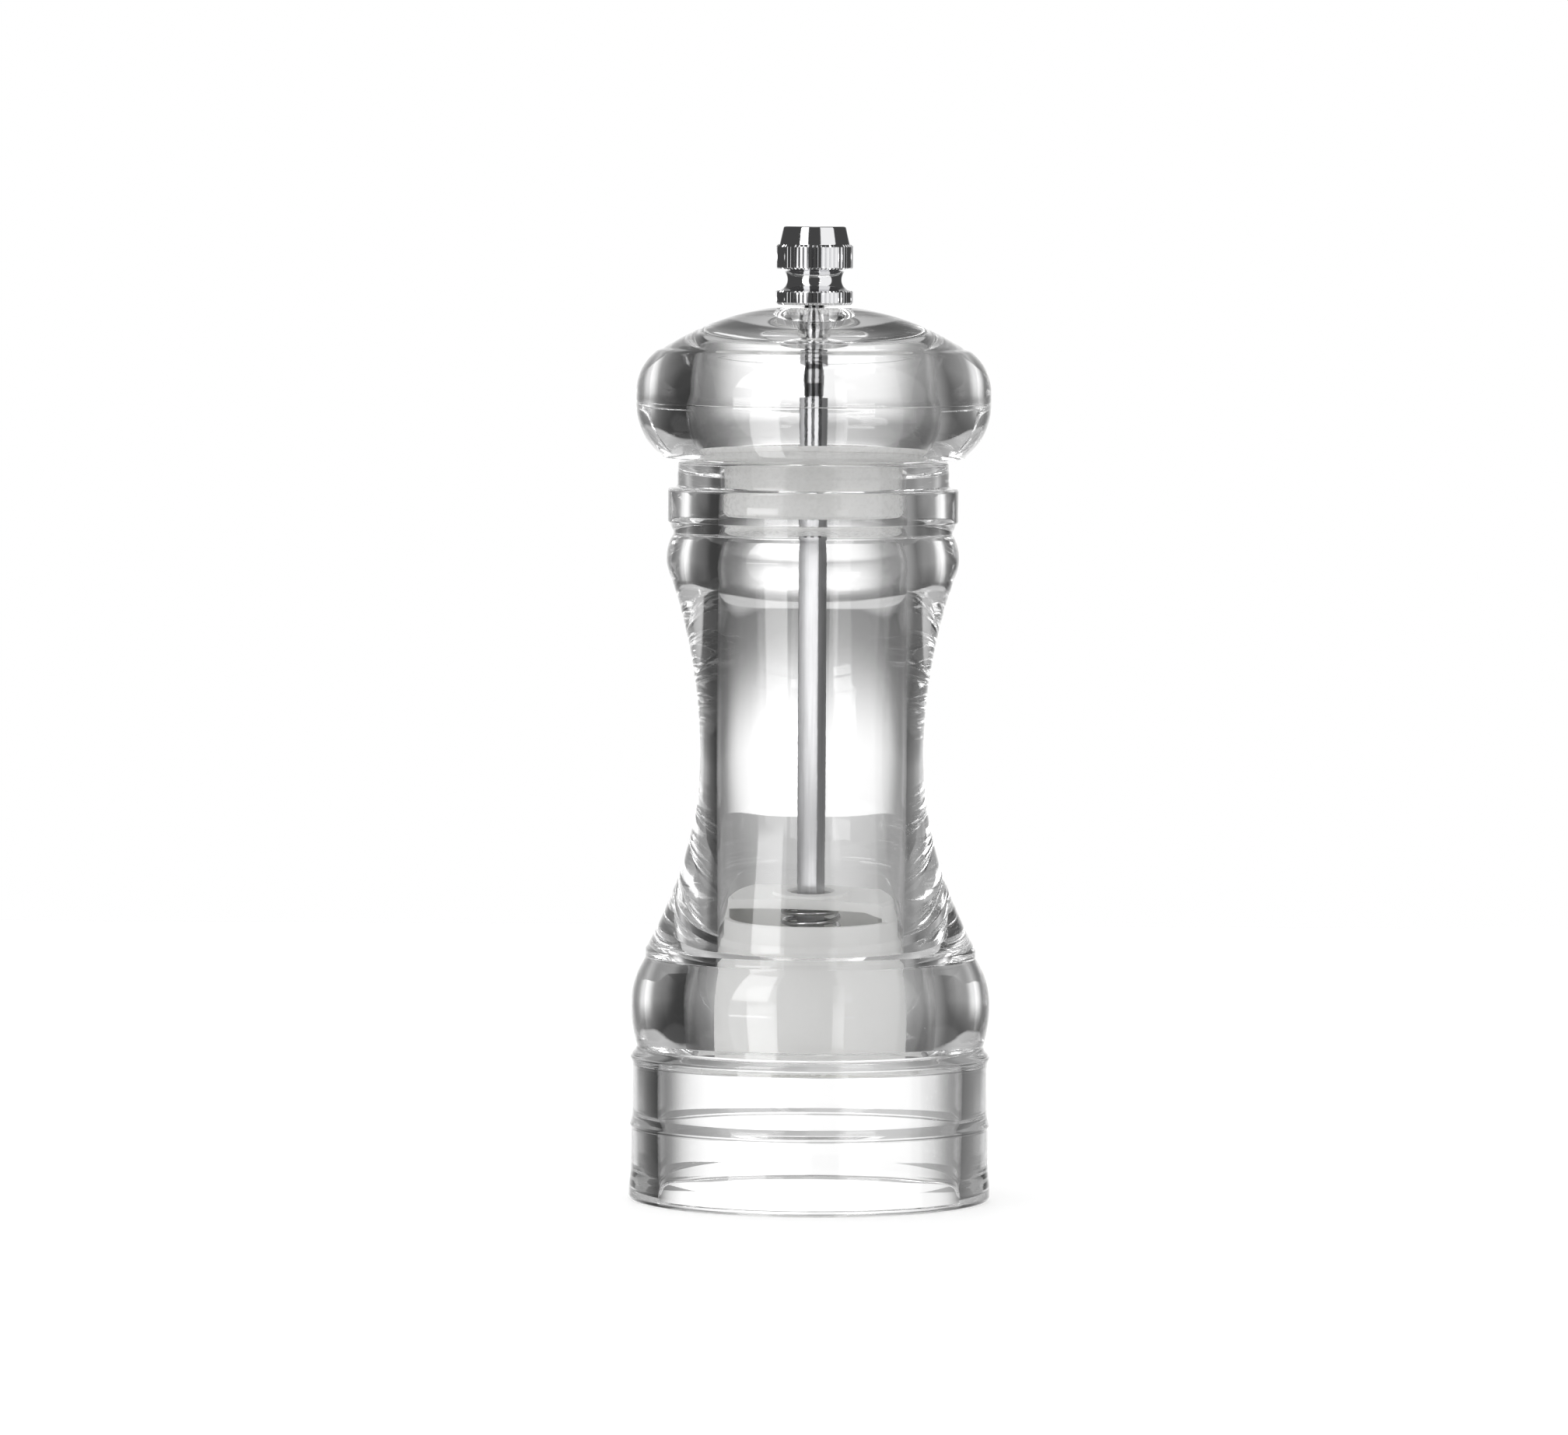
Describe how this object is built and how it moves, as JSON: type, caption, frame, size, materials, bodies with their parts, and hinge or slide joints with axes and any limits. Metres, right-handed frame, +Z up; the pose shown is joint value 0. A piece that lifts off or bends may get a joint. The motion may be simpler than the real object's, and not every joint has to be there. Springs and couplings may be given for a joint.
{
  "type": "pepper mill",
  "caption": "Turned clear pepper mill: a waisted body with a hollow foot, a domed cap on a square rod, a knurled knob and a white grinding mechanism",
  "frame": {"origin": "centre of the foot, on the surface the mill stands on", "axes": "+Z up along the turned axis, -Y towards the viewer of the front, +X to the right seen from the front"},
  "size_m": [0.052, 0.052, 0.1395],
  "materials": {
    "clear_acrylic": "clear cast acrylic, polished outside and bored inside",
    "white_nylon": "milky white moulded plastic, satin",
    "burr": "off-white moulded burr, satin",
    "washer_nylon": "smooth plastic washer",
    "rod_steel": "drawn bright steel",
    "spring_steel": "bright spring wire",
    "fastener_steel": "plated steel",
    "knob_chrome": "polished chrome plate, knurled bands"
  },
  "bodies": {
    "mill_body": {"barrel": "clear_acrylic", "grinder_housing": "white_nylon", "bridge": "white_nylon", "stator_ring": "burr", "retaining_ring": "white_nylon"},
    "turning_washer": {"thrust_washer": "washer_nylon"},
    "spindle": {"shaft": "rod_steel", "rotor": "burr", "spring": "spring_steel", "lower_washer": "fastener_steel", "lower_nut": "fastener_steel"},
    "cap": {"cap_shell": "clear_acrylic", "drive_plug": "white_nylon"},
    "knob": {"knob": "knob_chrome"}
  },
  "joints": [
    {"name": "mill_turn", "type": "hinge", "parent": "mill_body", "child": "turning_washer", "pos_m": [0, 0, 0.0402], "axis": [0, 0, 1], "continuous": true},
    {"name": "grind_adjust", "type": "slide", "parent": "turning_washer", "child": "spindle", "axis": [0, 0, 1], "range_m": [-0.00025, 0.00025], "deforming": ["spring"]},
    {"name": "cap_lift", "type": "slide", "parent": "turning_washer", "child": "cap", "axis": [0, 0, 1], "range_m": [0, 0.045]},
    {"name": "knob_turn", "type": "hinge", "parent": "cap", "child": "knob", "pos_m": [0, 0, 0.1283], "axis": [0, 0, 1], "range_deg": [-180, 180]}
  ],
  "couplings": [
    {"joint": "knob_turn", "follows": "grind_adjust", "rad_per_m": -12563}
  ]
}
